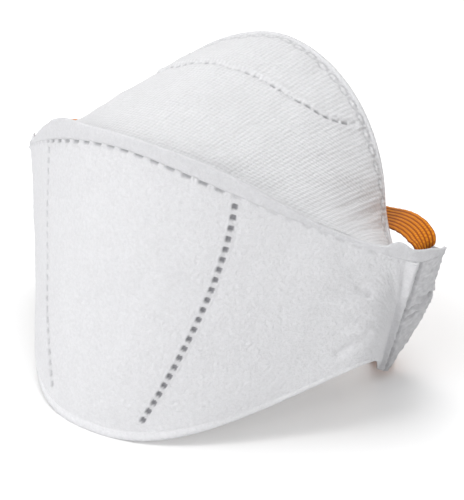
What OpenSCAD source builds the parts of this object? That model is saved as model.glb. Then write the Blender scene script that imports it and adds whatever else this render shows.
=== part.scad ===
// Flat-fold disposable dust mask with side tabs and one elastic strap.
// Origin: the rest in the middle of the chin edge, on the centre plane and on the
// floor. +X is the wearer's left-hand tab, +Y points to the face, +Z is up.
// Millimetres. A depth is a distance back from the origin, along +Y.

/* [Show] */

// Which piece to draw

/* [Lower panel] */

// Half width at the side end of the front seam
seam_half_width = 74; // [60:0.5:85]
// Depth of the middle of the front seam
seam_middle_depth = 18.8; // [5:0.2:40]
// Depth of the side ends of the front seam
seam_depth = 55; // [40:0.2:70]
// Height of the middle of the front seam
seam_height = 89.6; // [70:0.1:105]
// Height of the side ends of the front seam
seam_end_height = 61.5; // [45:0.5:75]
// How fast the seam falls away from its middle
seam_fall = 1.82; // [1.3:0.02:3]
// Half width at the side end of the chin edge
chin_half_width = 73.3; // [55:0.1:85]
// How far the outer face of the chin edge stands in front of the origin
chin_reach = 0.8; // [0.2:0.1:2]
// Depth of the side ends of the chin edge
chin_depth = 54.6; // [40:0.2:70]
// Height of the side ends of the chin edge
chin_end_height = 26.65; // [10:0.05:40]
// Share of the chin edge, from its middle, that lies flat on the floor
chin_flat = 0.063; // [0:0.001:0.3]
// Angle from straight back at which both edges reach the side tab
side_angle = 45.6; // [20:0.2:70]
// Height of the welded margin along the chin edge
chin_margin = 0.034; // [0.02:0.002:0.08]

/* [Upper panel] */

// Half width of the nose edge where it meets the tab
nose_edge_half_width = 56.6; // [45:0.2:70]
// Depth of the side ends of the nose edge
nose_edge_side_depth = 79.5; // [65:0.1:95]
// Depth of the middle of the nose edge
nose_edge_depth = 99.8; // [85:0.2:115]
// Height of the side ends of the nose edge
nose_edge_side_height = 49.8; // [35:0.1:65]
// Height of the middle of the nose edge
nose_edge_height = 105.6; // [90:0.1:120]
// Roundness of the nose edge
nose_edge_round = 1.1; // [0.8:0.05:1.5]
// Outward bow of the panel at its middle
crown_bow = 1; // [0:0.25:6]
// Extra outward bow towards the cheeks
cheek_bow = 0.5; // [0:0.5:20]
// Share of the panel taken by the border along the nose edge
nose_margin = 0.042; // [0.02:0.002:0.08]

/* [Layers] */

// Outer cover thickness
cover_thickness = 0.6; // [0.3:0.05:1.2]
// Filter web thickness
filter_thickness = 0.9; // [0.5:0.05:1.5]
// Inner liner thickness
liner_thickness = 0.45; // [0.2:0.05:1]
// Air left between neighbouring layers
layer_gap = 0.1; // [0.05:0.05:0.3]
// Greatest height of the upright lip along the front seam
lip_height = 5.8; // [3:0.1:8]

/* [Nose] */

// Width of the metal strip that is pinched over the nose
clip_width = 5; // [3:0.25:8]
// Thickness of the metal strip
clip_thickness = 0.7; // [0.4:0.05:1]
// Share of the panel's half span covered by the strip
clip_span = 0.42; // [0.25:0.01:0.6]
// Thickness of the foam pad inside the nose edge
foam_thickness = 3; // [1.5:0.25:5]

/* [Tabs] */

// Thickness of the outer skin of the tab
tab_skin = 0.9; // [0.5:0.05:1.5]
// Thickness of the inner skin of the tab
tab_lining = 0.6; // [0.4:0.05:1]
// Outward bow of the tab's rear leaf
leaf_bow = 1.7; // [0:0.1:3]
// Room between the two skins for the strap
tunnel_bow = 5; // [3:0.25:8]

/* [Strap] */

// Width of the elastic braid
strap_width = 8.6; // [5:0.5:12]
// Thickness of the elastic braid
strap_thickness = 1; // [0.6:0.1:1.6]
// Gap between a swinging strap end and the run inside the tab
strap_gap = 0.4; // [0.2:0.05:1]

/* [Hidden] */

// Samples across a panel, along a panel, and on the tabs and straps
across = 48;
along = 7;
tab_steps = 9;
strap_steps = 34;

// Handles of the two plan curves, middle and side
seam_handles = [23.9, 39.3];
chin_handles = [32, 41.7];

// Tab corners on the +X side: ends of the side joint, fold line, rear edge
joint_top = [seam_half_width, seam_depth, seam_end_height];
joint_foot = [chin_half_width, chin_depth, chin_end_height];
fold_top = [80, 61.3, 58.5];
fold_foot = [54.5, 83.8, 3.6];
leaf_top = [82.2, 76.8, 58.5];
leaf_foot = [54.4, 90.8, 3];
// How far the leaf's rear edge and the rear edge of its inner skin bulge, and how
// low the leaf's bulge sits
leaf_belly = 8.4;
lining_belly = 4;
leaf_sag = 1.6;
// Share of the leaf's width left in front of the inner skin
lining_start = 0.08;
// Shares of the tab's height between which the inner skin runs
lining_reach = [0.06, 0.8];
// Shares of the lip's height, from the middle of the seam to its side ends
lip_profile = [0.81, 0.88, 1, 0.86, 0.28, 0.28];
// Height of the turned-up top edge of the tab, joint to fold to rear edge
brim = [4.4, 6, 6.4, 3.6, 3.4, 3.2, 0.2];
// How far the side ends of the nose edge flare out to meet the tab
edge_flare = [12, -9, 3];

// Room between the back of the lower panel and the edge of the upper one, between
// a panel's side end and the tab, and between a layer and the welded edge
lip_clearance = 0.65;
lining_gap = 0.15;
tab_clearance = tab_skin + 0.25;
weld_clearance = 0.007;

// Depths of the stacked layers below the outer surface
filter_in = cover_thickness + layer_gap;
liner_in = filter_in + filter_thickness + layer_gap;
lower_back = liner_in + liner_thickness;
clip_in = cover_thickness + 0.05;
upper_filter_in = clip_in + clip_thickness + layer_gap;
upper_liner_in = upper_filter_in + filter_thickness + layer_gap;
upper_back = upper_liner_in + liner_thickness;
foam_in = upper_back + 0.05;

// Where the strap bends at the upper and lower mouths of the tabs
head_pivot = [78.8, 69.2, 59];
neck_pivot = [58, 85.4, 14.7];
half_strap = strap_width / 2;

// Loop paths from the pivot to the centre plane, as two joined curves, and the
// way the braid's width lies at the tab, beyond the bend and at the centre
head_path = [head_pivot, head_pivot + [0, 0.2, 6.6], [67, 78.1, 63.2], [50.8, 93, 54.7],
    [40, 103, 49], [20, 111, 45], [0, 111, 45]];
head_edges = [[0, 8.4, 3], [3, 8.1, 5], [0, 7, 5]];
neck_path = [neck_pivot, neck_pivot + [-3.8, 1.6, -6.4], [50.5, 94.5, 0.6], [42.5, 100.5, 0.6],
    [34.5, 106.5, 0.6], [20, 110, 0.6], [0, 110, 0.6]];
neck_edges = [[0, 8.8, 0], [4.5, 7.4, 0], [0, 8.8, 0]];

// Vector helpers
function unit(v) = v / norm(v);
function mix(a, b, k) = a + (b - a) * k;
function on_floor(p) = [p[0], p[1], max(0, p[2])];
function cubic(a, b, c, d, s) =
    pow(1 - s, 3) * a + 3 * pow(1 - s, 2) * s * b + 3 * (1 - s) * s * s * c + pow(s, 3) * d;
function side(t) = t < 0 ? -1 : 1;

// Plan curve from the middle, square to the centre plane, to the side end
function plan(s, start, half, depth, handles) =
    let (c = sin(side_angle), d = cos(side_angle))
    [cubic(0, handles[0], half - handles[1] * c, half, s),
     cubic(start, start, depth - handles[1] * d, depth, s)];

// Front seam and chin edge; t runs from -1 at one tab to +1 at the other
function seam(t) =
    let (s = abs(t), p = plan(s, seam_middle_depth, seam_half_width, seam_depth, seam_handles))
    [side(t) * p[0], p[1], seam_height - (seam_height - seam_end_height) * pow(s, seam_fall)];
function chin(t) =
    let (s = abs(t), p = plan(s, -chin_reach, chin_half_width, chin_depth, chin_handles))
    [side(t) * p[0], p[1],
     chin_end_height * pow(max(0, s - chin_flat) / (1 - chin_flat), 2)];
function lower_point(t, v) = mix(chin(t), seam(t), v);

// Nose edge, and the upper surface from just behind the lip to that edge
function nose_edge(t) =
    let (a = 90 * (1 - abs(t)))
    let (k = pow(max(0, abs(t) - 0.82) / 0.18, 2) * edge_flare)
    [side(t) * (nose_edge_half_width * pow(cos(a), nose_edge_round) + k[0]),
     nose_edge_side_depth + k[1]
        + (nose_edge_depth - nose_edge_side_depth) * pow(sin(a), nose_edge_round),
     nose_edge_side_height + k[2] + (nose_edge_height - nose_edge_side_height) * sin(a)];
function behind_lip(t) =
    let (n = -normal(t, 1, false), f = unit([n[0], n[1], 0]))
    seam(t) + f * (lower_back + lip_clearance) + [0, 0, 1];
function upper_point(t, v) =
    let (bow = crown_bow + cheek_bow * t * t * (1 - t * t),
         n = [0.5 * side(t) * min(1, 2 * abs(t)), 0, 0.86])
    mix(behind_lip(t), nose_edge(t), v) + n * (4 * bow * v * (1 - v));

// Outward normal of either surface
function panel_point(t, v, upper) = upper ? upper_point(t, v) : lower_point(t, v);
function normal(t, v, upper) =
    let (e = 0.002, t0 = max(-1, t - e), t1 = min(1, t + e), v0 = max(0, v - e), v1 = min(1, v + e))
    unit(cross(panel_point(t1, v, upper) - panel_point(t0, v, upper),
               panel_point(t, v1, upper) - panel_point(t, v0, upper)));
function layer_point(t, v, deep, upper) =
    on_floor(panel_point(t, v, upper) - normal(t, v, upper) * deep);

// Closed sheet between two matching grids of points, outer and inner
module sheet(outer, inner) {
    n = len(outer);
    m = len(outer[0]);
    k = n * m;
    points = concat([for (row = outer) each row], [for (row = inner) each row]);
    cells = [for (i = [0 : n - 2], j = [0 : m - 2])
        [i * m + j, i * m + j + 1, (i + 1) * m + j + 1, (i + 1) * m + j]];
    border = concat([for (j = [0 : m - 1]) j], [for (i = [1 : n - 1]) i * m + m - 1],
        [for (j = [m - 2 : -1 : 0]) (n - 1) * m + j], [for (i = [n - 2 : -1 : 1]) i * m]);
    front = [for (q = cells) each [[q[0], q[1], q[2]], [q[0], q[2], q[3]]]];
    back = [for (f = front) [f[2] + k, f[1] + k, f[0] + k]];
    sides = [for (a = [0 : len(border) - 1])
        let (p = border[a], q = border[(a + 1) % len(border)])
        each [[q, p, p + k], [q, p + k, q + k]]];
    polyhedron(points, concat(front, back, sides));
}

// Part of a panel: spans in t and v, and the depths of its two faces
module layer(span, reach, deep, upper, cols, rows) {
    ts = [for (i = [0 : cols]) mix(span[0], span[1], i / cols)];
    vs = [for (j = [0 : rows]) mix(reach[0], reach[1], j / rows)];
    sheet([for (t = ts) [for (v = vs) layer_point(t, v, deep[0], upper)]],
        [for (t = ts) [for (v = vs) layer_point(t, v, deep[1], upper)]]);
}
module lower_layer(deep) {
    layer([-1, 1], [chin_margin + 0.002, 1], deep, false, across, along);
}
module upper_layer(deep) {
    layer([-1, 1], [0, 1 - nose_margin - weld_clearance], deep, true, across, along);
}

// Lower panel
module lower_cover() color("white") lower_layer([0, cover_thickness]);
module lower_filter() color("whitesmoke") lower_layer([filter_in, filter_in + filter_thickness]);
module lower_liner() color("white") lower_layer([liner_in, lower_back]);
module chin_hem() color("white") layer([-1, 1], [0, chin_margin], [0, lower_back], false, across, 1);

// Upright lip where the two panels are welded together along the front
function lip_tall(t) = lip_height * lookup(abs(t), [for (i = [0 : 5]) [i / 5, lip_profile[i]]]);
function lip_foot(t, deep) = layer_point(t, 1, deep, false) + [0, 0, 0.05];
module seam_lip() color("gainsboro") {
    ts = [for (i = [0 : across]) mix(-1, 1, i / across)];
    steps = [0, 0.5, 0.9, 1];
    taper = [0, 0, 0.1, 0.45];
    sheet(
        [for (t = ts) [for (j = [0 : 3]) lip_foot(t, taper[j]) + [0, 0, lip_tall(t) * steps[j]]]],
        [for (t = ts) [for (j = [0 : 3])
            lip_foot(t, lower_back - taper[j]) + [0, 0, lip_tall(t) * steps[j]]]]);
}

// Upper panel
module upper_cover() color("white") upper_layer([0, cover_thickness]);
module upper_filter() color("whitesmoke")
    upper_layer([upper_filter_in, upper_filter_in + filter_thickness]);
module upper_liner() color("white") upper_layer([upper_liner_in, upper_back]);
module upper_hem() color("white")
    layer([-1, 1], [1 - nose_margin, 1], [0, upper_back], true, across, 1);
module nose_clip() color("silver")
    layer([-clip_span, clip_span], [0.88, 0.88 + clip_width / 80], [clip_in, clip_in + clip_thickness],
        true, 20, 1);
module nose_foam() color("lightgrey")
    layer([-clip_span, clip_span], [0.8, 0.95], [foam_in, foam_in + foam_thickness], true, 20, 2);

// Side tab: the outer skin runs from the side joint over the fold to the rear edge
function fold(w) = mix(fold_top, fold_foot, w);
function joint(w) = mix(joint_top, joint_foot, w) + tab_clearance * [sin(side_angle), cos(side_angle), 0];
function leaf_edge(w) = mix(leaf_top, leaf_foot, w) + [0, leaf_belly * sin(180 * pow(w, leaf_sag)), 0];
function leaf_out(edge, w) = unit(cross(edge - fold(w), fold_top - fold_foot));
function skin_point(q, w) = q <= 1
    ? mix(joint(w), fold(w), q)
    : mix(fold(w), leaf_edge(w), q - 1) + leaf_out(leaf_edge(w), w) * (leaf_bow * 4 * (q - 1) * (2 - q));
function skin_normal(q, w) =
    let (e = 0.04, q0 = max(0, q - e), q1 = min(2, q + e), w0 = max(0, w - e), w1 = min(1, w + e))
    unit(cross(skin_point(q1, w) - skin_point(q0, w), skin_point(q, w0) - skin_point(q, w1)));
// Rows run up the tab; the last two, above zero, are the turned-up top edge
function brim_rise(q, k) = k * lookup(q, [for (i = [0 : 6]) [i / 3, brim[i]]]) * [-0.25, 0.1, 0.96];
function skin_row(q, w, deep) = let (k = max(0, w), j = max(0, -w))
    on_floor(skin_point(q, k) + brim_rise(q, j) - skin_normal(q, k) * deep);
module tab_skin_piece() {
    qs = [for (i = [0 : 2 * tab_steps]) i / tab_steps];
    ws = concat([for (j = [0 : tab_steps]) 1 - j / tab_steps], [-0.6, -1]);
    sheet([for (q = qs) [for (w = ws) skin_row(q, w, 0)]],
        [for (q = qs) [for (w = ws) skin_row(q, w, tab_skin)]]);
}
// The inner skin bows away from the leaf so the strap can run between them
function lining_edge(w) = mix(leaf_top, leaf_foot, w) + [0, lining_belly * 4 * w * (1 - w), 0];
function lining_point(k, w, deep) =
    let (edge = lining_edge(w), n = leaf_out(edge, w))
    mix(fold(w), edge, mix(lining_start, 1, k)) - n * (tab_skin + lining_gap + deep
        + tunnel_bow * sqrt(sin(180 * k)));
module tab_lining_piece() {
    ks = [for (i = [0 : 14]) (1 - cos(180 * i / 14)) / 2];
    ws = [for (j = [0 : tab_steps]) mix(lining_reach[1], lining_reach[0], j / tab_steps)];
    sheet([for (k = ks) [for (w = ws) on_floor(lining_point(k, w, 0))]],
        [for (k = ks) [for (w = ws) on_floor(lining_point(k, w, tab_lining))]]);
}
module tab_outer_right() color("white") tab_skin_piece();
module tab_outer_left() color("white") mirror([1, 0, 0]) tab_skin_piece();
module tab_inner_right() color("whitesmoke") tab_lining_piece();
module tab_inner_left() color("whitesmoke") mirror([1, 0, 0]) tab_lining_piece();

// Strap: a flat braid swept along a path; each station has a centre and an edge vector
module braid(centres, edges) {
    n = len(centres) - 1;
    heads = [for (i = [0 : n]) unit(centres[min(n, i + 1)] - centres[max(0, i - 1)])];
    flats = [for (i = [0 : n]) unit(cross(heads[i], edges[i])) * (strap_thickness / 2)];
    wide = [for (i = [0 : n]) unit(edges[i] - heads[i] * (edges[i] * heads[i])) * norm(edges[i])];
    sheet([for (i = [0 : n]) [for (k = [1, 0, -1]) centres[i] + wide[i] * k + flats[i]]],
        [for (i = [0 : n]) [for (k = [1, 0, -1]) centres[i] + wide[i] * k - flats[i]]]);
}
// Half width of a rounded end, measured back from the bend
function round_end(d) = d >= 0 ? half_strap : sqrt(max(0.09, half_strap * half_strap - d * d));
end_steps = [-0.97, -0.8, -0.5, -0.2];

// One side of a loop, k from 0 at the pivot to 2 at the centre plane
function loop_side(c, k) = k <= 1 ? cubic(c[0], c[1], c[2], c[3], k) : cubic(c[3], c[4], c[5], c[6], k - 1);
function mirror_x(p) = [-p[0], p[1], p[2]];
module loop(path, edges) {
    ks = [for (i = [0 : strap_steps]) 2 * i / strap_steps];
    lead = unit(path[1] - path[0]);
    right = concat([for (e = end_steps) path[0] + lead * (e * half_strap)],
        [for (k = ks) loop_side(path, k)]);
    right_edge = concat([for (e = end_steps) unit(edges[0]) * round_end(e * half_strap)],
        [for (k = ks) half_strap * unit(k <= 1 ? mix(edges[0], edges[1], k)
            : mix(edges[1], edges[2], k - 1))]);
    last = len(right) - 2;
    braid(concat(right, [for (i = [last : -1 : 0]) mirror_x(right[i])]),
        concat(right_edge, [for (i = [last : -1 : 0]) mirror_x(right_edge[i])]));
}
module head_strap() color("darkorange") loop(head_path, head_edges);
module neck_strap() color("darkorange") loop(neck_path, neck_edges);

// Run of the same strap inside the tab, from one mouth to the other
module strap_run_piece() {
    top = head_pivot;
    foot = neck_pivot;
    lead = unit(top - foot);
    long = norm(top - foot);
    room = half_strap + strap_gap;
    braid([for (i = [0 : 8]) foot + lead * mix(room, long - room, i / 8)],
        [for (i = [0 : 8]) unit(mix(neck_edges[0], head_edges[0], i / 8)) * half_strap]);
}
module strap_run_right() color("orange") strap_run_piece();
module strap_run_left() color("orange") mirror([1, 0, 0]) strap_run_piece();

lower_cover();
lower_filter();
lower_liner();
chin_hem();
seam_lip();
upper_cover();
upper_filter();
upper_liner();
upper_hem();
nose_clip();
nose_foam();
tab_outer_right();
tab_outer_left();
tab_inner_right();
tab_inner_left();
strap_run_right();
strap_run_left();
head_strap();
neck_strap();
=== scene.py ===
import math

import bpy
import numpy as np
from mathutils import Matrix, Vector


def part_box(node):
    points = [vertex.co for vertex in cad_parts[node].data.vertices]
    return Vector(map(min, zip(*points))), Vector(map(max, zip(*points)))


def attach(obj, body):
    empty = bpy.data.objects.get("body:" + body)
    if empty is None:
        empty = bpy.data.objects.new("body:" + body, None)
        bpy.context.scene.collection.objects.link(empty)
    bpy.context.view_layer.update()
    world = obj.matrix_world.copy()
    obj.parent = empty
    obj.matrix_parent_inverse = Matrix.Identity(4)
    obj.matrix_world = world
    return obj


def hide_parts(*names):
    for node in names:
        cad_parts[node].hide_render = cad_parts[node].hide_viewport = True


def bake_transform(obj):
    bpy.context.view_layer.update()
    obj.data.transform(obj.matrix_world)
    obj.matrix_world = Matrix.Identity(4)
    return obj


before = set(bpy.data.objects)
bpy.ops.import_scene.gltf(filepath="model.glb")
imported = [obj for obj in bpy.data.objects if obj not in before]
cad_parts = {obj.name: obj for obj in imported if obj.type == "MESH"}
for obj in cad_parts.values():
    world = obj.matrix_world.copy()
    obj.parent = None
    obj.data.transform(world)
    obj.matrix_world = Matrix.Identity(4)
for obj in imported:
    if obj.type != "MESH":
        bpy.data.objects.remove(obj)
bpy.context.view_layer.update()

MM = 0.001


def edge_of(node, hi, axis):
    """One side of a CAD node's box, in millimetres."""
    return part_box(node)[hi][axis] / MM


# ---------------------------------------------------------------- shape, in mm
SEAM_W = edge_of("lower_cover", 1, 0)
SEAM_H = edge_of("lower_cover", 1, 2)
CHIN_REACH = -edge_of("chin_hem", 0, 1)
NOSE_Y = edge_of("upper_hem", 1, 1)
NOSE_Z = edge_of("upper_hem", 1, 2)
SEAM_MIDDLE, SEAM_DEPTH, SEAM_END, SEAM_FALL = 18.8, 55.0, 61.5, 1.82
CHIN_W, CHIN_DEPTH, CHIN_END, CHIN_FLAT = 73.3, 54.6, 26.65, 0.063
SIDE = math.radians(45.6)
# How far the seam and the chin edge run straight before they turn, at the middle and at the side
SEAM_PULL, CHIN_PULL = (23.9, 39.3), (32, 41.7)
NOSE_W, NOSE_SIDE_Y, NOSE_SIDE_Z, NOSE_ROUND = 56.6, 79.5, 49.8, 1.1
# The nose edge flares out past this share of its half span, by this much at its end
FLARE_FROM, FLARE = 0.82, np.array([12.0, -9.0, 3.0])
CROWN_BOW, CHEEK_BOW = 1.0, 0.5
COVER, LOWER_BACK, UPPER_BACK, LIP_ROOM = 0.6, 2.15, 2.9, 0.65
FOLD_TOP, FOLD_FOOT = np.array([80.0, 61.3, 58.5]), np.array([54.5, 83.8, 3.6])
LEAF_TOP, LEAF_FOOT = np.array([82.2, 76.8, 58.5]), np.array([54.4, 90.8, 3.0])
LEAF_BELLY, LEAF_SAG, LEAF_BOW, LINING_BELLY = 8.4, 1.6, 1.7, 4.0
JOINT_TOP, JOINT_FOOT = np.array([SEAM_W, SEAM_DEPTH, SEAM_END]), np.array([CHIN_W, CHIN_DEPTH, CHIN_END])
HEAD_PIVOT = np.array([78.8, 69.2, 59.0])
NECK_PIVOT = np.array([58.0, 85.4, 14.7])


def cubic(a, b, c, d, s):
    """Point at s on the curve from a to d that is pulled towards b and c."""
    return (1 - s) ** 3 * a + 3 * (1 - s) ** 2 * s * b + 3 * (1 - s) * s * s * c + s ** 3 * d


def smooth(x, a, b):
    """0 below a, 1 above b, and a soft step between."""
    x = np.clip((x - a) / (b - a), 0, 1)
    return x * x * (3 - 2 * x)


def plan(s, start, half, depth, h0, h1):
    """Outline seen from above, from the middle to the side, that leaves the side at the angle SIDE."""
    x = cubic(0, h0, half - h1 * math.sin(SIDE), half, s)
    y = cubic(start, start, depth - h1 * math.cos(SIDE), depth, s)
    return x, y


def seam(t):
    """Front seam; t runs from -1 at the left side to 1 at the right."""
    s = np.abs(t)
    x, y = plan(s, SEAM_MIDDLE, SEAM_W, SEAM_DEPTH, *SEAM_PULL)
    return np.stack([np.sign(t) * x, y, SEAM_H - (SEAM_H - SEAM_END) * s ** SEAM_FALL], -1)


def chin(t):
    """Chin edge: flat on the floor in the middle, rising to the sides."""
    s = np.abs(t)
    x, y = plan(s, -CHIN_REACH, CHIN_W, CHIN_DEPTH, *CHIN_PULL)
    z = CHIN_END * (np.maximum(0, s - CHIN_FLAT) / (1 - CHIN_FLAT)) ** 2
    return np.stack([np.sign(t) * x, y, z], -1)


def nose_edge(t):
    """Free edge of the upper panel, over the nose."""
    a = np.pi / 2 * (1 - np.abs(t))
    k = (np.maximum(0, np.abs(t) - FLARE_FROM) / (1 - FLARE_FROM)) ** 2
    c, s = np.maximum(np.cos(a), 0) ** NOSE_ROUND, np.sin(a)
    return np.stack([np.sign(t) * (NOSE_W * c + k * FLARE[0]),
                     NOSE_SIDE_Y + k * FLARE[1] + (NOSE_Y - NOSE_SIDE_Y) * s ** NOSE_ROUND,
                     NOSE_SIDE_Z + k * FLARE[2] + (NOSE_Z - NOSE_SIDE_Z) * s], -1)


def normals(p):
    """Unit normals of a grid of points."""
    n = np.cross(np.gradient(p, axis=0), np.gradient(p, axis=1))
    return n / np.maximum(np.linalg.norm(n, axis=-1, keepdims=True), 1e-9)


def lower_grid(ts, vs):
    """Outer side of the lower panel, from the chin edge, v 0, to the seam, v 1."""
    v = vs[None, :, None]
    return chin(ts)[:, None] * (1 - v) + seam(ts)[:, None] * v


def upper_grid(ts, vs):
    """Outer side of the upper panel, from behind the seam, v 0, to the nose edge, v 1."""
    low = lower_grid(ts, np.array([0.98, 1.0]))
    n = -normals(low)[:, 1]
    flat = np.stack([n[:, 0], n[:, 1], 0 * n[:, 0]], -1)
    flat /= np.linalg.norm(flat, axis=-1, keepdims=True)
    start = seam(ts) + flat * (LOWER_BACK + LIP_ROOM) + np.array([0, 0, 1.0])
    v = vs[None, :, None]
    bow = (CROWN_BOW + CHEEK_BOW * ts ** 2 * (1 - ts ** 2))[:, None, None]
    up = np.stack([0.5 * np.sign(ts) * np.minimum(1, 2 * np.abs(ts)), 0 * ts, 0.86 + 0 * ts], -1)[:, None]
    return start[:, None] * (1 - v) + nose_edge(ts)[:, None] * v + up * bow * 4 * v * (1 - v)


def tab_grid(qs, ws, inner=False):
    """Wing (q 0 to 1) and leaf (q 1 to 2) of the +X tab; w runs from the top, 0, to the tip, 1."""
    w = ws[None, :, None]
    joint = JOINT_TOP * (1 - w) + JOINT_FOOT * w
    fold = FOLD_TOP * (1 - w) + FOLD_FOOT * w
    belly = LINING_BELLY * 4 * w * (1 - w) if inner else LEAF_BELLY * np.sin(np.pi * w ** LEAF_SAG)
    rear = LEAF_TOP * (1 - w) + LEAF_FOOT * w + np.array([0, 1, 0]) * belly
    q = qs[:, None, None]
    n = np.cross(rear - fold, FOLD_TOP - FOLD_FOOT)
    n = n / np.linalg.norm(n, axis=-1, keepdims=True)
    wing = joint + (fold - joint) * np.minimum(q, 1)
    k = np.clip(q - 1, 0, 1)
    return wing + (rear - fold) * k + n * LEAF_BOW * 4 * k * (1 - k), n, fold, rear


# ------------------------------------------------------------------ mesh tools
def make(name, verts, faces, uv, mark, body):
    """Smooth mesh object from points in mm, kept above the floor and carried by a body, if one is given."""
    me = bpy.data.meshes.new(name)
    v = np.asarray(verts, float).reshape(-1, 3).copy()
    v[:, 2] = np.maximum(v[:, 2], 0.0)
    me.from_pydata((v * MM).tolist(), [], [tuple(f) for f in faces])
    me.validate()
    me.polygons.foreach_set("use_smooth", np.ones(len(me.polygons), bool))
    for layer, kind, key, values in (("cloth", "FLOAT_VECTOR", "vector", uv),
                                     ("mark", "FLOAT", "value", mark)):
        me.attributes.new(layer, kind, "POINT").data.foreach_set(key, np.asarray(values, float).ravel())
    ob = bpy.data.objects.new(name, me)
    bpy.context.scene.collection.objects.link(ob)
    if body:
        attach(ob, body)
    return ob


def sheet(name, outer, inner, uv, mark):
    """Closed sheet between two matching grids, outer side first."""
    n, m = outer.shape[:2]
    k = n * m
    i, j = np.meshgrid(np.arange(n - 1), np.arange(m - 1), indexing="ij")
    a = (i * m + j).ravel()
    top = np.stack([a, a + m, a + m + 1, a + 1], -1)
    low = top[:, ::-1] + k
    rim = np.concatenate([np.arange(m), np.arange(1, n) * m + m - 1,
                          (n - 1) * m + np.arange(m - 2, -1, -1), np.arange(n - 2, 0, -1) * m])
    nxt = np.roll(rim, -1)
    side = np.stack([rim, nxt, nxt + k, rim + k], -1)
    faces = np.concatenate([top, low, side]).tolist()
    verts = np.concatenate([outer.reshape(-1, 3), inner.reshape(-1, 3)])
    uv = np.concatenate([uv.reshape(-1, 3)] * 2)
    mark = np.concatenate([mark.ravel(), 0 * mark.ravel()])
    return make(name, verts, faces, uv, mark, "mask")


def tube(name, rings, uv, mark, body="mask"):
    """Closed skin over a row of closed rings, capped at both ends."""
    n, m = rings.shape[:2]
    i, j = np.meshgrid(np.arange(n - 1), np.arange(m), indexing="ij")
    i, j = i.ravel(), j.ravel()
    jn = (j + 1) % m
    faces = np.stack([i * m + j, i * m + jn, (i + 1) * m + jn, (i + 1) * m + j], -1).tolist()
    faces.append(list(range(m))[::-1])
    faces.append([(n - 1) * m + x for x in range(m)])
    return make(name, rings.reshape(-1, 3), faces, uv, mark, body)


def ripple(x, y, seed, size, count=14):
    """Smooth repeatable unevenness of about unit height; size is its wavelength in mm."""
    rng = np.random.default_rng(seed)
    out = 0
    for _ in range(count):
        a, ph, k = rng.uniform(0, math.tau), rng.uniform(0, math.tau), math.tau / size * rng.uniform(0.6, 1.5)
        out = out + np.sin(k * (x * math.cos(a) + y * math.sin(a)) + ph)
    return out / math.sqrt(count / 2) * 0.7


def waves(flat, seed, size, count=14):
    """Smooth unevenness over a cloth, from its flat coordinates."""
    return ripple(flat[..., 0], flat[..., 1], seed, size, count)


def hump(x, at, wide):
    """A rounded hump of unit height."""
    return np.exp(-((x - at) / wide) ** 2)


def arc_of(line):
    """Distance along a line of points, at each of them."""
    return np.concatenate([[0], np.cumsum(np.linalg.norm(np.diff(line, axis=0), axis=1))])


def at(line, arc, s):
    """Point or points at the distance s along a line."""
    return np.stack([np.interp(s, arc, line[:, k]) for k in range(3)], -1)


def along(grid_of, t, v):
    """Points of a panel at matching pairs of t and v."""
    pair = np.arange(len(t))
    return grid_of(t, v)[pair, pair]


def stamp(p, centre, e1, e2, h1, h2, power):
    """Distance from a stamp's centre in its own half sizes: 1 on its edge."""
    d = p - centre
    a, b = np.abs(d @ e1) / h1, np.abs(d @ e2) / h2
    return (a ** power + b ** power) ** (1 / power)


def stamps(p, n, line, centres_at, h1, h2, depth, lip):
    """Pits along a line of points on a sheet: returns height and how deep in a pit each point is."""
    reach = 14.0
    high, mark = np.zeros(p.shape[:2]), np.zeros(p.shape[:2])
    arc = arc_of(line)
    flat = p.reshape(-1, 3)
    for s in centres_at:
        if s < 0 or s > arc[-1]:
            continue
        c = at(line, arc, s)
        c2 = at(line, arc, min(s + 0.5, arc[-1]))
        c1 = at(line, arc, max(s - 0.5, 0))
        near = np.nonzero(np.abs(flat - c).max(1) < reach)[0]
        if not len(near):
            continue
        q = flat[near]
        nn = n.reshape(-1, 3)[near[np.argmin(np.linalg.norm(q - c, axis=1))]]
        e1 = (c2 - c1) / np.linalg.norm(c2 - c1)
        e2 = np.cross(nn, e1)
        r = stamp(q, c, e1, e2, h1, h2, 6.0)
        facing = np.linalg.norm(q - c, axis=1) < 2.2 * max(h1, h2)
        pit = (1 - smooth(r, 0.72, 1.10)) * facing
        ring = hump(r, 1.38, 0.26) * facing
        high.reshape(-1)[near] += -depth * pit + depth * lip * ring
        mark.reshape(-1)[near] = np.maximum(mark.reshape(-1)[near], pit)
    return high, mark


def line_groove(p, line, width, depth):
    """A soft valley along a line of points on a sheet, and each point's distance to the line."""
    flat = p.reshape(-1, 3)
    best = np.full(len(flat), 1e9)
    for c in line:
        best = np.minimum(best, ((flat - c) ** 2).sum(1))
    best = np.sqrt(best).reshape(p.shape[:2])
    return -depth * hump(best, 0, width), best


def soften(p, cols, passes, keep=0.5):
    """Rounds a grid across its columns near the given columns, less along its top edge."""
    p = p.copy()
    w = np.zeros(len(p))
    for c, reach in cols:
        w = np.maximum(w, np.exp(-((np.arange(len(p)) - c) / reach) ** 2))
    w = w[:, None, None] * keep * (1 - 0.75 * smooth(np.linspace(0, 1, p.shape[1]), 0.86, 1.0))[None, :, None]
    for _ in range(passes):
        mid = (np.roll(p, 1, 0) + np.roll(p, -1, 0)) / 2
        mid[0], mid[-1] = p[0], p[-1]
        p = p + (mid - p) * w
    return p


def cloth_uv(p):
    """Distances along both ways of a grid, in mm, measured from its middle column."""
    n, m = p.shape[:2]
    u = np.concatenate([np.zeros((1, m)), np.cumsum(np.linalg.norm(np.diff(p, axis=0), axis=-1), 0)])
    u = u - u[n // 2][None, :]
    mid = u[:, m // 2][:, None] + 0 * u
    v = np.concatenate([np.zeros((n, 1)), np.cumsum(np.linalg.norm(np.diff(p, axis=1), axis=-1), 1)], 1)
    return np.stack([mid, v, 0 * u], -1)


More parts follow.
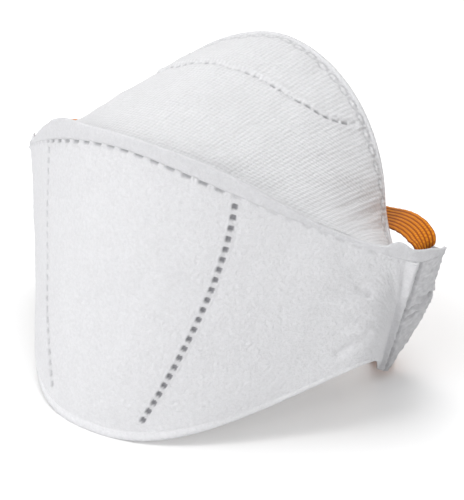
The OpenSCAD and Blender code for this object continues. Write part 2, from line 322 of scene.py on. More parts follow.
# ------------------------------------------------------------------- materials
def nonwoven(name, base, dark, grain=0.35, knit=0.0, fine=0.25, rough=0.9, pebble=950.0):
    """White fibre cloth: soft pebbling, fine fibres, an optional embossed grid, and a darker colour where the
    mark attribute is set: in pits, and as painted shade on the tab leaf and in its wrinkles.
    """
    mat = bpy.data.materials.new(name)
    mat.use_nodes = True
    nt = mat.node_tree
    nodes, link = nt.nodes, nt.links.new
    bsdf = nodes["Principled BSDF"]
    pos = nodes.new("ShaderNodeTexCoord").outputs["Object"]

    def noise(scale, detail, distort=0.0):
        n = nodes.new("ShaderNodeTexNoise")
        n.inputs["Scale"].default_value = scale
        n.inputs["Detail"].default_value = detail
        n.inputs["Roughness"].default_value = 0.6
        n.inputs["Distortion"].default_value = distort
        link(pos, n.inputs["Vector"])
        return n.outputs["Fac"]

    def maths(op, *values):
        n = nodes.new("ShaderNodeMath")
        n.operation = op
        for i, x in enumerate(values):
            if isinstance(x, (int, float)):
                n.inputs[i].default_value = x
            else:
                link(x, n.inputs[i])
        return n.outputs[0]

    def blend_colour(fac, a, b):
        n = nodes.new("ShaderNodeMix")
        n.data_type = "RGBA"
        for i, x in ((0, fac), (6, a), (7, b)):
            if isinstance(x, (int, float)):
                n.inputs[i].default_value = x
            elif isinstance(x, tuple):
                n.inputs[i].default_value = (*x, 1.0)
            else:
                link(x, n.inputs[i])
        return n.outputs[2]

    soft = noise(pebble, 3.0, 0.6)
    fibre = noise(pebble * 3.6, 2.0, 2.4)
    broad = noise(60.0, 2.0)
    height = maths("ADD", maths("MULTIPLY", soft, grain), maths("MULTIPLY", fibre, fine))
    shade = maths("ADD", maths("MULTIPLY", maths("SUBTRACT", soft, 0.5), 0.55),
                  maths("MULTIPLY", maths("SUBTRACT", fibre, 0.5), 0.5))
    if knit:
        at = nodes.new("ShaderNodeAttribute")
        at.attribute_name = "cloth"
        sep = nodes.new("ShaderNodeSeparateXYZ")
        link(at.outputs["Vector"], sep.inputs[0])
        wobble = maths("MULTIPLY", maths("SUBTRACT", noise(260.0, 2.0), 0.5), 0.45)
        gx = maths("SINE", maths("MULTIPLY", maths("ADD", sep.outputs[0], wobble), math.tau / 1.45))
        gy = maths("SINE", maths("MULTIPLY", maths("ADD", sep.outputs[1], wobble), math.tau / 1.3))
        weave = maths("ADD", maths("MULTIPLY", gx, 0.55), maths("MULTIPLY", gy, 0.4))
        height = maths("ADD", height, maths("MULTIPLY", weave, knit))
        shade = maths("ADD", shade, maths("MULTIPLY", weave, knit * 0.6))
    blotch = maths("MULTIPLY", maths("SUBTRACT", broad, 0.5), 0.06)
    tone = maths("ADD", maths("MULTIPLY", shade, 0.44), blotch)
    tone = maths("ADD", tone, 1.0)
    plain = nodes.new("ShaderNodeMix")
    plain.data_type = "RGBA"
    plain.blend_type = "MULTIPLY"
    plain.inputs[0].default_value = 1.0
    plain.inputs[6].default_value = (*base, 1.0)
    grey = nodes.new("ShaderNodeCombineColor")
    for i in range(3):
        link(tone, grey.inputs[i])
    link(grey.outputs[0], plain.inputs[7])
    marks = nodes.new("ShaderNodeAttribute")
    marks.attribute_name = "mark"
    link(blend_colour(marks.outputs["Fac"], plain.outputs[2], dark), bsdf.inputs["Base Color"])
    bump = nodes.new("ShaderNodeBump")
    bump.inputs["Strength"].default_value = 0.8
    bump.inputs["Distance"].default_value = 0.0006
    link(height, bump.inputs["Height"])
    link(bump.outputs[0], bsdf.inputs["Normal"])
    link(maths("ADD", rough - 0.08, maths("MULTIPLY", soft, 0.12)), bsdf.inputs["Roughness"])
    bsdf.inputs["Sheen Weight"].default_value = 0.15
    bsdf.inputs["Sheen Roughness"].default_value = 0.6
    bsdf.inputs["Specular IOR Level"].default_value = 0.2
    return mat


def elastic_material():
    """Orange braid: painted highlight in yellow on the rib crests and painted shade in red-brown in the
    grooves, with crossing stitches.
    """
    mat = bpy.data.materials.new("elastic_braid")
    mat.use_nodes = True
    nt = mat.node_tree
    nodes, link = nt.nodes, nt.links.new
    bsdf = nodes["Principled BSDF"]
    at = nodes.new("ShaderNodeAttribute")
    at.attribute_name = "mark"
    # Painted shade and highlight: red-brown shade in the grooves, orange between, yellow highlight on the
    # crests
    ramp = nodes.new("ShaderNodeValToRGB")
    ramp.color_ramp.elements[0].color = (0.20, 0.035, 0.003, 1)
    ramp.color_ramp.elements[1].color = (0.80, 0.31, 0.010, 1)
    mid = ramp.color_ramp.elements.new(0.5)
    mid.color = (0.50, 0.125, 0.003, 1)
    n = nodes.new("ShaderNodeTexNoise")
    n.inputs["Scale"].default_value = 1600
    n.inputs["Detail"].default_value = 3
    add = nodes.new("ShaderNodeMath")
    add.operation = "MULTIPLY_ADD"
    link(n.outputs["Fac"], add.inputs[0])
    add.inputs[1].default_value = 0.5
    sub = nodes.new("ShaderNodeMath")
    sub.operation = "SUBTRACT"
    link(at.outputs["Fac"], sub.inputs[0])
    sub.inputs[1].default_value = 0.25
    link(sub.outputs[0], add.inputs[2])
    link(add.outputs[0], ramp.inputs[0])
    link(ramp.outputs[0], bsdf.inputs["Base Color"])
    bump = nodes.new("ShaderNodeBump")
    bump.inputs["Strength"].default_value = 0.5
    bump.inputs["Distance"].default_value = 0.0002
    link(n.outputs["Fac"], bump.inputs["Height"])
    link(bump.outputs[0], bsdf.inputs["Normal"])
    bsdf.inputs["Roughness"].default_value = 0.7
    bsdf.inputs["Specular IOR Level"].default_value = 0.25
    return mat


def strip_metal():
    """Satin aluminium with rolling marks along the strip."""
    mat = bpy.data.materials.new("nose_strip_metal")
    mat.use_nodes = True
    nt = mat.node_tree
    bsdf = nt.nodes["Principled BSDF"]
    tc = nt.nodes.new("ShaderNodeTexCoord")
    mp = nt.nodes.new("ShaderNodeMapping")
    mp.inputs["Scale"].default_value = (120, 4000, 4000)
    n = nt.nodes.new("ShaderNodeTexNoise")
    n.inputs["Scale"].default_value = 1.0
    ramp = nt.nodes.new("ShaderNodeMapRange")
    ramp.inputs[3].default_value, ramp.inputs[4].default_value = 0.25, 0.5
    nt.links.new(tc.outputs["Object"], mp.inputs[0])
    nt.links.new(mp.outputs[0], n.inputs["Vector"])
    nt.links.new(n.outputs["Fac"], ramp.inputs[0])
    nt.links.new(ramp.outputs[0], bsdf.inputs["Roughness"])
    bsdf.inputs["Metallic"].default_value = 1.0
    bsdf.inputs["Base Color"].default_value = (0.74, 0.75, 0.76, 1)
    return mat


WHITE = (0.80, 0.80, 0.82)
M_COVER = nonwoven("lower_cover_cloth", WHITE, (0.20, 0.20, 0.22), grain=1.0, fine=0.5)
M_CROWN = nonwoven("crown_cloth", (0.80, 0.80, 0.815), (0.40, 0.40, 0.42), grain=0.5, knit=0.25, fine=0.5)
# Painted shade: the welded lip's cloth is a darker, bluish grey than the cover, for the shade on the lip band
M_WELD_PAINTED_SHADE = nonwoven("welded_edge_cloth_painted_shade", (0.715, 0.715, 0.735), (0.36, 0.36, 0.39), grain=0.8, fine=0.4,
                  rough=0.85)
M_HEM = nonwoven("pressed_edge_cloth", (0.79, 0.79, 0.81), (0.4, 0.4, 0.42), grain=0.5, fine=0.3, rough=0.8)
M_LINER = nonwoven("liner_cloth", (0.82, 0.82, 0.82), (0.4, 0.4, 0.4), grain=0.25, fine=0.35, pebble=600.0)
M_FILTER = nonwoven("filter_web_cloth", (0.76, 0.76, 0.76), (0.4, 0.4, 0.4), grain=0.5, fine=0.5,
                    pebble=500.0)
M_FOAM = nonwoven("nose_foam", (0.62, 0.62, 0.64), (0.3, 0.3, 0.3), grain=1.0, fine=0.6, rough=0.95,
                  pebble=1500.0)
M_STRAP = elastic_material()


def finish(ob, mat, slot_name, *nodes):
    """Gives a piece its material and hides the CAD nodes it stands for."""
    ob.data.materials.append(mat)
    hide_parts(*nodes)


# ---------------------------------------------------------------- lower panel
NT, NV, NW, NL = ((430, 176, 46, 38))
ts = np.linspace(-1, 1, NT)
vs = np.linspace(0, 1, NV)
qs = np.concatenate([np.linspace(0, 1, NW + 1)[1:], np.linspace(1, 2, NL + 1)[1:]])
panel = lower_grid(ts, vs)
tab = tab_grid(qs, 1 - vs)[0]
mirror = np.array([-1, 1, 1])
skin = np.concatenate([(tab * mirror)[::-1], panel, tab])
j0, j1 = len(qs), len(qs) + NT - 1            # columns of the two side joints
f0, f1 = NL - 1, len(skin) - NL               # columns of the two folds
skin = soften(skin, [(j0, NW * 0.42), (j1, NW * 0.42)], 260)
skin = soften(skin, [(f0, NL * 0.07), (f1, NL * 0.07)], 40)
out = normals(skin)
uv = cloth_uv(skin)
tcol = np.concatenate([-1 - qs[::-1], ts, 1 + qs])   # -3..3, past 1 on the tabs
T, V = np.meshgrid(tcol, vs, indexing="ij")

high = 0.30 * waves(uv, 3, 46) + 0.10 * waves(uv, 5, 15)
high = high * smooth(V, 0.0, 0.1) * (1 - smooth(V, 0.93, 1.0))
high += 0.050 * waves(uv, 9, 2.6, 40) + 0.030 * waves(uv, 11, 1.6, 40)
marks = np.zeros_like(high)

# Dashes along the front seam, just below the lip; the first counted one is DASH_START left of the middle
rows = skin[:, -1] - skin[:, -6]
rows /= np.linalg.norm(rows, axis=-1, keepdims=True)
DASH_DROP, DASH_START, DASH_PITCH, DASHES = 0.35, 53.9, 5.598, range(-6, 27)
DASH_HALF_LONG, DASH_HALF_WIDE, DASH_DEEP = 1.6, 0.72, 0.45
dash_line = skin[j0:j1 + 1, -1] - rows[j0:j1 + 1] * DASH_DROP
half_arc = arc_of(dash_line)[-1] / 2
centres = half_arc - DASH_START + DASH_PITCH * np.array(DASHES)
h, m = stamps(skin, out, dash_line, centres, DASH_HALF_LONG, DASH_HALF_WIDE, DASH_DEEP, 0.6)
fade = (1 - smooth(T, 0.42, 0.56)) * smooth(T, -0.62, -0.5) + 0.25
high, marks = high + h * fade, np.maximum(marks, m * 0.46 * fade)
# Finer stitches carry the seam on along the top of each wing
STITCH_DROP, STITCH_PITCH, STITCH_START, STITCH_SHARE = 1.2, 2.1, 1.5, 0.38
for a, b in ((0, j0), (j1, len(skin) - 1)):
    line = skin[a:b + 1, -1] - rows[a:b + 1] * STITCH_DROP
    arc = arc_of(line)[-1]
    span = (arc * (1 - STITCH_SHARE), arc - STITCH_START) if a == 0 else (STITCH_START, arc * STITCH_SHARE)
    h, m = stamps(skin, out, line, np.arange(span[0], span[1], STITCH_PITCH), 0.55, 0.6, 0.3, 0.35)
    high, marks = high + h * 0.4, np.maximum(marks, m * 0.08)

# The two curved rows of square pits, from the chin up to the seam; the far row is fainter in the photo
ROW_PITS, PIT_HALF, PIT_DEEP, PIT_TONE = 23, 0.94, 0.6, {1: 0.85, -1: 0.35}
S = np.linspace(0, 1, 140)
for sign in (1, -1):
    line = along(lower_grid, sign * (0.229 + 0.307 * S + 0.268 * S * (1 - S)), 0.07 + 0.925 * S)
    high += line_groove(skin, line, 2.4, 0.16)[0]
    pits_at = np.linspace(0.8, arc_of(line)[-1] - 3.2, ROW_PITS)
    h, m = stamps(skin, out, line, pits_at, PIT_HALF, PIT_HALF, PIT_DEEP, 0.45)
    high, marks = high + h, np.maximum(marks, m * PIT_TONE[sign])


def place(t, v):
    """Nearest point of the panel or tab."""
    return skin[np.argmin(np.abs(tcol - t)), np.argmin(np.abs(vs - v))]


def spot(t, v, size, depth):
    """A round dent at a place on the panel or tab; size in mm."""
    return -depth * hump(np.linalg.norm(skin - place(t, v), axis=-1), 0, size)


def crease(a, b, width, depth):
    """A groove between two places on the panel or tab, with a soft ridge on each side."""
    line = [place(a[0] + (b[0] - a[0]) * k, a[1] + (b[1] - a[1]) * k) for k in np.linspace(0, 1, 24)]
    g, far = line_groove(skin, line, width, depth)
    return g + 0.25 * depth * hump(far, 2.4 * width, width)


# Wrinkles gathered across the leaf at mid height: where each starts and ends, its width and depth
LEAF_WRINKLES = [((2.12, 0.56), (2.95, 0.60), 0.8, 1.1), ((2.35, 0.50), (2.98, 0.565), 0.7, 1.0),
                 ((2.1, 0.47), (2.9, 0.53), 0.8, 0.8), ((2.4, 0.66), (2.95, 0.61), 0.8, 0.7),
                 ((2.3, 0.36), (2.85, 0.48), 1.0, 0.6)]
for sign in (1, -1):
    high += spot(sign * 0.945, 0.655, 2.1, 0.8) + spot(sign * 0.975, 0.62, 1.5, 0.7)
    high += spot(sign * 0.89, 0.87, 2.8, 0.4) + spot(sign * 0.92, 0.79, 2.6, 0.35)
    high += crease((sign * 0.895, 0.17), (sign * 0.975, 0.26), 1.3, 0.7)
    high += crease((sign * 0.93, 0.42), (sign * 1.0, 0.36), 1.6, 0.4)
    for start, end, wide, deep in LEAF_WRINKLES:
        dent = crease((sign * start[0], start[1]), (sign * end[0], end[1]), wide, deep)
        high += dent
        # Painted shade: each wrinkle's groove is darkened too, the deeper the darker
        marks = np.maximum(marks, np.clip(-dent * 0.45, 0, 0.5))

# Each fold is a plump rolled ridge, with a stitched-down groove and a second ridge on the leaf
side_fold = np.where(np.arange(len(skin)) < len(skin) / 2, f0, f1)
fold_gap = np.linalg.norm(skin - skin[side_fold], axis=-1)
on_leaf = smooth(np.abs(T), 1.97, 2.03)
on_tab = smooth(np.abs(T), 1.5, 1.8)
ridge = 1.4 * hump(fold_gap, 0, 1.25) - 0.3 * hump(fold_gap, 3.0, 1.0) * (1 - on_leaf)
ridge -= 0.7 * hump(fold_gap, 2.3, 0.6) * on_leaf
ridge += 0.45 * hump(fold_gap, 3.3, 0.8) * on_leaf
high += ridge * on_tab * smooth(V, 0.0, 0.05)
# The leaf's own border along its rear edge, and pressed pits across the leaf
rear_col = np.where(np.arange(len(skin)) < len(skin) / 2, 0, len(skin) - 1)
rear_gap = np.linalg.norm(skin - skin[rear_col], axis=-1)
high += on_leaf * (0.35 * hump(rear_gap, 1.1, 0.8) - 0.3 * hump(rear_gap, 2.4, 0.5))
high += on_leaf * (0.16 * waves(uv, 81, 5.5, 24) + 0.10 * waves(uv, 83, 3.0, 24))

# Painted shade: the leaf is darkened to a mottled grey, most in the groove behind the fold, because it faces
# away from the light
leaf_painted_shade = 0.17 + 0.07 * waves(uv, 91, 4.0, 24) + 0.22 * hump(fold_gap, 2.3, 0.5)
marks = np.maximum(marks, np.clip(on_leaf * smooth(fold_gap, 1.4, 2.4) * leaf_painted_shade, 0, 1))
outer = skin + out * high[..., None]
inner = skin - out * COVER + out * (high * 0.6)[..., None]
finish(sheet("lower_outer_cloth", outer, inner, uv, marks), M_COVER, "cover_fabric",
       "lower_cover", "tab_outer_right", "tab_outer_left")


def plain_layer(name, grid, d0, d1, mat, slot_name, node, seed, wave):
    """A cloth layer from d0 to d1 under a grid, with a slow waviness on its inner side."""
    n = normals(grid)
    u = cloth_uv(grid)
    r = (wave * waves(u, seed, 12))[..., None]
    ob = sheet(name, grid - n * d0, grid - n * (d1 + r * 0.5), u, np.zeros(grid.shape[:2]))
    finish(ob, mat, slot_name, node)


pick_t = np.linspace(j0 + 5, j1 - 5, 150).round().astype(int)
low = skin[pick_t][:, np.linspace(2, NV - 1, 60).round().astype(int)]
plain_layer("lower_filter_web", low, 1.4, 1.68, M_FILTER, "filter_web", "lower_filter", 2, 0.05)
plain_layer("lower_liner_cloth", low, 1.7, 2.15, M_LINER, "liner_fabric", "lower_liner", 4, 0.22)


def band(name, foot, inward, rise, thick, tall, mat, slot_name, node, seed, wave, corner=0.45):
    """A strip standing on a line; its section is a rounded rectangle, thick by tall, at each point."""
    n = len(foot)
    a = np.linspace(0, 1, 7)
    c = np.linspace(0, np.pi, 9)
    side_up = np.stack([np.zeros(7), a * (1 - corner * 0.4)], -1)
    cap = np.stack([(1 - np.cos(c)) / 2, (1 - corner * 0.4) + corner * 0.4 * np.sin(c)], -1)[1:-1]
    section = np.concatenate([side_up, cap, side_up[::-1] + [1, 0]])
    arc = arc_of(foot)
    rings = np.zeros((n, len(section), 3))
    for k, (x, h) in enumerate(section):
        sway = wave * ripple(arc, h * 6.0 + 0 * arc, seed, 11) * h
        rings[:, k] = foot + inward * (thick * x + sway)[:, None] + rise * (tall * h)[:, None]
    uvs = np.stack([np.repeat(arc[:, None], len(section), 1), np.tile(section[:, 1] * 5, (n, 1)),
                    np.zeros((n, len(section)))], -1)
    ob = tube(name, rings, uvs, np.zeros(rings.shape[:2]))
    finish(ob, mat, slot_name, node)


# Upright lip over the front seam, carried on along the top of both tabs
top = skin[:, -1] + out[:, -1] * 0.12
flat_in = -out[:, -1]
LIP_AT = [0, 0.1, 0.2, 0.3, 0.4, 0.5, 0.6, 0.7, 0.8, 0.9, 1.0, 1.35, 1.7, 2.0, 2.35, 2.7, 3.0]
LIP_TALL = [4.7, 4.8, 5.1, 5.6, 5.9, 5.7, 5.0, 3.5, 1.8, 1.4, 2.2, 4.6, 5.4, 3.7, 3.6, 3.0, 0.5]
tall_main = np.interp(np.abs(tcol), LIP_AT, LIP_TALL)
tall_main = np.convolve(np.pad(tall_main, 8, mode="edge"), np.ones(17) / 17, "valid")
lean = smooth(np.abs(tcol), 0.97, 1.2)[:, None]
rise = np.stack([0 * tcol, 0 * tcol, 1 + 0 * tcol], -1) * (1 - lean) + lean * np.stack(
    [-0.22 * np.sign(tcol), 0.1 + 0 * tcol, 0.97 + 0 * tcol], -1)
# The roll stands a little prouder on the far side
tall_main = tall_main + 1.4 * hump(tcol, -0.44, 0.2)
round_off = np.sqrt(np.clip((3.0 - np.abs(tcol)) / 0.5, 0.03, 1))
thick = np.interp(np.abs(tcol), [0, 0.9, 1.15, 3.0], [1.9, 1.9, 1.0, 0.9])
band("front_seam_lip", top + np.array([0, 0, -0.15]), flat_in, rise, thick, tall_main * round_off,
     M_WELD_PAINTED_SHADE, "welded_edge", "seam_lip", 21, 0.28)

# Pressed margin round the chin edge
foot_cols = slice(j0, j1 + 1)
rim = skin[foot_cols]
step = rim[:, [0, round(0.036 * (NV - 1))]]
up_dir = step[:, 1] - step[:, 0]
hem_tall = np.linalg.norm(up_dir, axis=-1)
up_dir /= hem_tall[:, None]
hem_in = -normals(rim)[:, 0]
band("chin_pressed_edge", step[:, 1] - hem_in * 0.12, hem_in, -up_dir, np.full(NT, 2.3), hem_tall * 0.995,
     M_HEM, "welded_edge", "chin_hem", 31, 0.06, 0.9)

# ---------------------------------------------------------------- upper panel
MT, MV = ((440, 184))
ut, uvv = np.linspace(-1, 1, MT), np.linspace(0, 1, MV)
crown = upper_grid(ut, uvv)
up_n = normals(crown)
cu = cloth_uv(crown)
UT, UV = np.meshgrid(ut, uvv, indexing="ij")
rise_u = 0.40 * waves(cu, 13, 40) + 0.14 * waves(cu, 17, 13)
rise_u *= smooth(UV, 0.0, 0.12) * (1 - smooth(UV, 0.94, 1.0))
rise_u += 0.02 * waves(cu, 19, 2.4, 40)
rise_soft = rise_u.copy()
mark_u = np.zeros_like(rise_u)

# Nose weld: a smile-shaped line with dashes, and a soft ridge above it
WELD_T = [0, 0.11, 0.19, 0.265, 0.357, 0.44, 0.49, 0.514, 0.529, 0.535]
WELD_V = [0.640, 0.655, 0.661, 0.667, 0.688, 0.728, 0.782, 0.833, 0.873, 0.895]
wt = np.sin(np.linspace(-1, 1, 260) * np.pi / 2) * WELD_T[-1]
wv = np.interp(np.abs(wt), WELD_T, WELD_V)
wv = np.convolve(np.pad(wv, 6, mode="edge"), np.ones(13) / 13, "valid")
weld = along(upper_grid, wt, wv)
weld_fine = np.stack([np.interp(np.linspace(0, 1, 400), np.linspace(0, 1, 260),
                                np.convolve(np.pad(weld[:, k], 4, mode="edge"), np.ones(9) / 9, "valid"))
                      for k in range(3)], -1)
groove, far = line_groove(crown, weld_fine, 1.1, 0.5)
below = far * np.sign(UV - np.interp(np.abs(UT), WELD_T, WELD_V))
rise_u += groove + 0.45 * hump(below, 1.7, 1.0) * (np.abs(UT) < 0.56)
WELD_PITCH, WELD_HALF_LONG, WELD_HALF_WIDE, WELD_DEEP = 3.4, 1.15, 0.5, 0.36
h, m = stamps(crown, up_n, weld_fine, np.arange(1.6, arc_of(weld_fine)[-1] - 1.0, WELD_PITCH),
              WELD_HALF_LONG, WELD_HALF_WIDE, WELD_DEEP, 0.3)
plain_part = 0.25 + 0.75 * smooth(UT, 0.02, 0.16) + 0.75 * smooth(-UT, 0.02, 0.16)
rise_u, mark_u = rise_u + h * plain_part, np.maximum(mark_u, m * 0.85 * plain_part)

# A chain of oval loops pressed in just inside the nose edge
inward_v = crown[:, -8] - crown[:, -1]
inward_v /= np.linalg.norm(inward_v, axis=-1, keepdims=True)
chain = crown[:, -1] + inward_v * 3.1
arcs = arc_of(chain)
LOOP_HALF_LONG, LOOP_HALF_WIDE, LOOP_PITCH = 2.3, 1.05, 5.8
flat = crown.reshape(-1, 3)
for s in np.arange(LOOP_PITCH / 2, arcs[-1] - 2.0, LOOP_PITCH):
    c = at(chain, arcs, s)
    e1 = at(chain, arcs, s + 1) - at(chain, arcs, s - 1)
    e1 /= np.linalg.norm(e1)
    near = np.nonzero(np.abs(flat - c).max(1) < 4.5)[0]
    nn = up_n.reshape(-1, 3)[near[np.argmin(np.linalg.norm(flat[near] - c, axis=1))]]
    r = stamp(flat[near], c, e1, np.cross(nn, e1), LOOP_HALF_LONG, LOOP_HALF_WIDE, 2.4)
    ring = hump(r, 0.92, 0.30)
    rise_u.reshape(-1)[near] += -0.36 * ring + 0.20 * hump(r, 0, 0.45)
    mark_u.reshape(-1)[near] = np.maximum(mark_u.reshape(-1)[near], ring * 0.45)
edge_far = np.linalg.norm(crown - crown[:, -1][:, None], axis=-1)
rise_u += -0.22 * hump(edge_far, 5.0, 0.7) - 0.18 * hump(edge_far, 1.5, 0.5)
rise_u += np.sin(cu[..., 0] * math.tau / LOOP_PITCH) * 0.10 * hump(edge_far, 7.5, 3.0)
# Gathers where the panel runs down into the tabs
for sign in (1, -1):
    for tc, amp in ((0.80, 0.35), (0.86, 0.4), (0.91, 0.35)):
        rise_u += -amp * hump(UT * sign, tc, 0.014) * smooth(UV, 0.1, 0.4) * (1 - smooth(UV, 0.75, 0.95))
up_out = crown + up_n * rise_u[..., None]
up_in = crown - up_n * COVER + up_n * (rise_u * 0.3)[..., None]
finish(sheet("crown_outer_cloth", up_out, up_in, cu, mark_u), M_CROWN, "crown_fabric", "upper_cover")

ct, cv = np.linspace(-1, 1, 140), np.linspace(0, 0.985, 56)
dome = upper_grid(ct, cv)
plain_layer("crown_filter_web", dome, 1.5, 2.35, M_FILTER, "filter_web", "upper_filter", 6, 0.05)
plain_layer("crown_liner_cloth", dome, 2.5, 3.0, M_LINER, "liner_fabric", "upper_liner", 8, 0.2)

edge_p = crown[:, -1]
band("nose_pressed_edge", edge_p + inward_v * 1.5 + up_n[:, -1] * 0.06, -up_n[:, -1], -inward_v,
     np.full(MT, UPPER_BACK + 0.1), np.full(MT, 1.55), M_HEM, "welded_edge", "upper_hem", 41, 0.05, 1.6)

# Foam pad inside the nose edge: pillow section, rounded ends
ft, fv = np.linspace(-0.42, 0.42, 70), np.linspace(0.8, 0.95, 18)
pad = upper_grid(ft, fv)
pn = normals(pad)
a, b = np.meshgrid(np.linspace(-1, 1, 70), np.linspace(-1, 1, 18), indexing="ij")
puff = np.sqrt(np.clip(1 - np.abs(b) ** 4, 0, 1)) * np.sqrt(np.clip(1 - np.abs(a) ** 16, 0, 1))
pu = cloth_uv(pad)
lump = 0.12 * waves(pu, 51, 4)
pad_ob = sheet("nose_foam_pad", pad - pn * 3.0, pad - pn * (3.0 + 0.25 + (2.7 + lump) * puff)[..., None], pu,
               np.zeros(a.shape))
finish(pad_ob, M_FOAM, "foam", "nose_foam")

# Metal nose strip between the outer cloth and the filter web, following the cloth's slow waves
along, across = np.abs(ut) <= 0.42, (uvv >= 0.88) & (uvv <= 0.945)
strip = crown[along][:, across]
strip_n, strip_rise = up_n[along][:, across], rise_soft[along][:, across][..., None]
finish(sheet("nose_strip", strip + strip_n * (strip_rise - 0.95), strip + strip_n * (strip_rise - 1.45),
             cloth_uv(strip), np.zeros(strip.shape[:2])), strip_metal(), "clip_metal", "nose_clip")

# ------------------------------------------------------------ inner tab skins
lw = np.linspace(0.06, 0.8, 60)
lk = np.linspace(0, 1, 34)
_, ln, lf, lr = tab_grid(np.array([0.5]), lw, inner=True)
ln, lf, lr = ln[0], lf[0], lr[0]
k = lk[:, None, None]
deep = 1.05 + 4.6 * np.sqrt(np.clip(np.sin(np.pi * lk), 0, 1))[:, None, None]
start = lf * 0.92 + lr * 0.08
pocket = start[None] * (1 - k) + lr[None] * k - ln[None] * deep
pocket_n = -normals(pocket)
flip = np.sign((pocket_n * -ln[None]).sum(-1).mean())
pocket_n = pocket_n * flip
lu = cloth_uv(pocket)
pr = 0.25 * waves(lu, 61, 9) * smooth(np.sin(np.pi * lk)[:, None] + 0 * lu[..., 0], 0.0, 0.6)
skin_a = pocket + pocket_n * (0.55 + pr)[..., None]
skin_b = pocket + pocket_n * pr[..., None]
for side, sgn in (("right", 1), ("left", -1)):
    m3 = np.array([sgn, 1, 1])
    a3, b3 = skin_a * m3, skin_b * m3
    if (np.cross(np.gradient(a3, axis=0), np.gradient(a3, axis=1)) * (a3 - b3)).sum() < 0:
        a3, b3, uu = a3[::-1], b3[::-1], lu[::-1]
    else:
        uu = lu
    finish(sheet("tab_inner_cloth_" + side, a3, b3, uu, np.zeros(uu.shape[:2])), M_LINER, "liner_fabric",
           "tab_inner_" + side)

# --------------------------------------------------------------------- elastic
RIBS, WIDE, THIN, STITCH = 7, 8.6, 1.05, 1.25
POINTS_PER_RIB = 6
# Half the distance, in mm, between two points set either side of each strap's pivot, where it leaves the mask
# for its loop
BEND_HALF = 3.2


def braid(name, centres, edges, pivot, lean, nodes):
    """Flat ribbed elastic swept along a path, which runs from the mask round its loop at the tab mouths."""
    arc = arc_of(centres)
    count = int(arc[-1] / (0.45))
    s = np.linspace(0, arc[-1], count)
    c, e = at(centres, arc, s), at(edges, arc, s)
    for _ in range(6):
        c[1:-1] = c[1:-1] * 0.5 + (c[2:] + c[:-2]) * 0.25
        e[1:-1] = e[1:-1] * 0.5 + (e[2:] + e[:-2]) * 0.25
    head = np.gradient(c, axis=0)
    head /= np.linalg.norm(head, axis=-1, keepdims=True)
    e -= head * (e * head).sum(-1, keepdims=True)
    e /= np.linalg.norm(e, axis=-1, keepdims=True)
    face = np.cross(head, e)
    x = np.linspace(-1, 1, RIBS * POINTS_PER_RIB + 1)
    crest = np.abs(np.sin(np.pi * RIBS * (x + 1) / 2)) ** 0.7
    body = THIN / 2 * (1 - 0.35 * np.abs(x) ** 10)
    ring_x = np.concatenate([x, x[::-1][1:-1]])
    ring_c = np.concatenate([crest, crest[::-1][1:-1]])
    ring_h = np.concatenate([body, -body[::-1][1:-1]])
    ribno = np.floor(np.clip((ring_x + 1) / 2 * RIBS, 0, RIBS - 0.001))
    stitch = 0.5 + 0.5 * np.sin(s[:, None] * math.tau / STITCH + ribno[None, :] * math.pi)
    rib = 0.24 * ring_c[None, :] * (0.75 + 0.25 * stitch) - 0.10
    tall = ring_h[None, :] + np.sign(ring_h)[None, :] * rib
    wob = 1 + 0.015 * ripple(s, 0 * s, 71, 7)[:, None]
    across = (ring_x[None, :] * WIDE / 2 * wob)[..., None]
    rings = c[:, None] + e[:, None] * across + face[:, None] * tall[..., None]
    # Painted highlight and shade: the colour follows the rib height, lightest on the crests and where
    # stitches stand up, darkest in the grooves
    mark = ring_c[None, :] * (0.55 + 0.45 * stitch)
    uvw = np.stack([np.repeat(s[:, None], len(ring_x), 1), np.tile(ring_x * 4, (count, 1)), 0 * mark], -1)
    ob = tube(name, rings, uvw, mark, body=None)
    finish(ob, M_STRAP, "elastic", *nodes)
    lean = np.array(lean) / np.linalg.norm(lean)
    a, b = (pivot - lean * BEND_HALF) * MM, (pivot + lean * BEND_HALF) * MM
    a[0] = b[0] = 0
    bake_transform(ob)


def loop_path(p, ed, other, other_edge, share):
    """Half-run inside the right tab, round the loop, and half-run inside the left tab."""
    ks = np.linspace(0, 1, 60)
    run = other + (p[0] - other) * (share + (1 - share) * ks)[:, None]
    run_e = other_edge + (ed[0] - other_edge) * (share + (1 - share) * ks)[:, None]
    one = np.array([cubic(p[0], p[1], p[2], p[3], k) for k in ks])
    two = np.array([cubic(p[3], p[4], p[5], p[6], k) for k in ks])
    e1 = np.array([ed[0] * (1 - k) + ed[1] * k for k in ks])
    e2 = np.array([ed[1] * (1 - k) + ed[2] * k for k in ks])
    half = np.concatenate([run[:-1], one[:-1], two])
    half_e = np.concatenate([run_e[:-1], e1[:-1], e2])
    half_e /= np.linalg.norm(half_e, axis=-1, keepdims=True)
    whole = np.concatenate([half, (half[:-1] * mirror)[::-1]])
    return whole, np.concatenate([half_e, (half_e[:-1] * mirror)[::-1]])


head_p = np.array([HEAD_PIVOT, HEAD_PIVOT + [0, 0.2, 6.6], [67, 78.1, 63.2], [50.8, 93, 54.7], [40, 103, 49],
                   [20, 111, 45], [0, 111, 45]])
head_e = np.array([[0, 8.4, 3], [3.0, 8.1, 5.0], [0, 7, 5]])
neck_p = np.array([NECK_PIVOT, NECK_PIVOT + [-3.8, 1.6, -6.4], [50.5, 94.5, 0.75], [42.5, 100.5, 0.75],
                   [34.5, 106.5, 0.75], [20, 110, 0.75], [0, 110, 0.75]])
neck_e = np.array([[0, 8.8, 0], [4.5, 7.4, 0], [0, 8.8, 0]])
c, e = loop_path(head_p, head_e, NECK_PIVOT, neck_e[0], 0.5)
braid("head_elastic", c, e, HEAD_PIVOT, (0, 1, 1),
      ("head_strap", "strap_run_right", "strap_run_left"))
c, e = loop_path(neck_p, neck_e, HEAD_PIVOT, head_e[0], 0.5)
braid("neck_elastic", c, e, NECK_PIVOT, (0, 0.894, -0.447), ("neck_strap",))

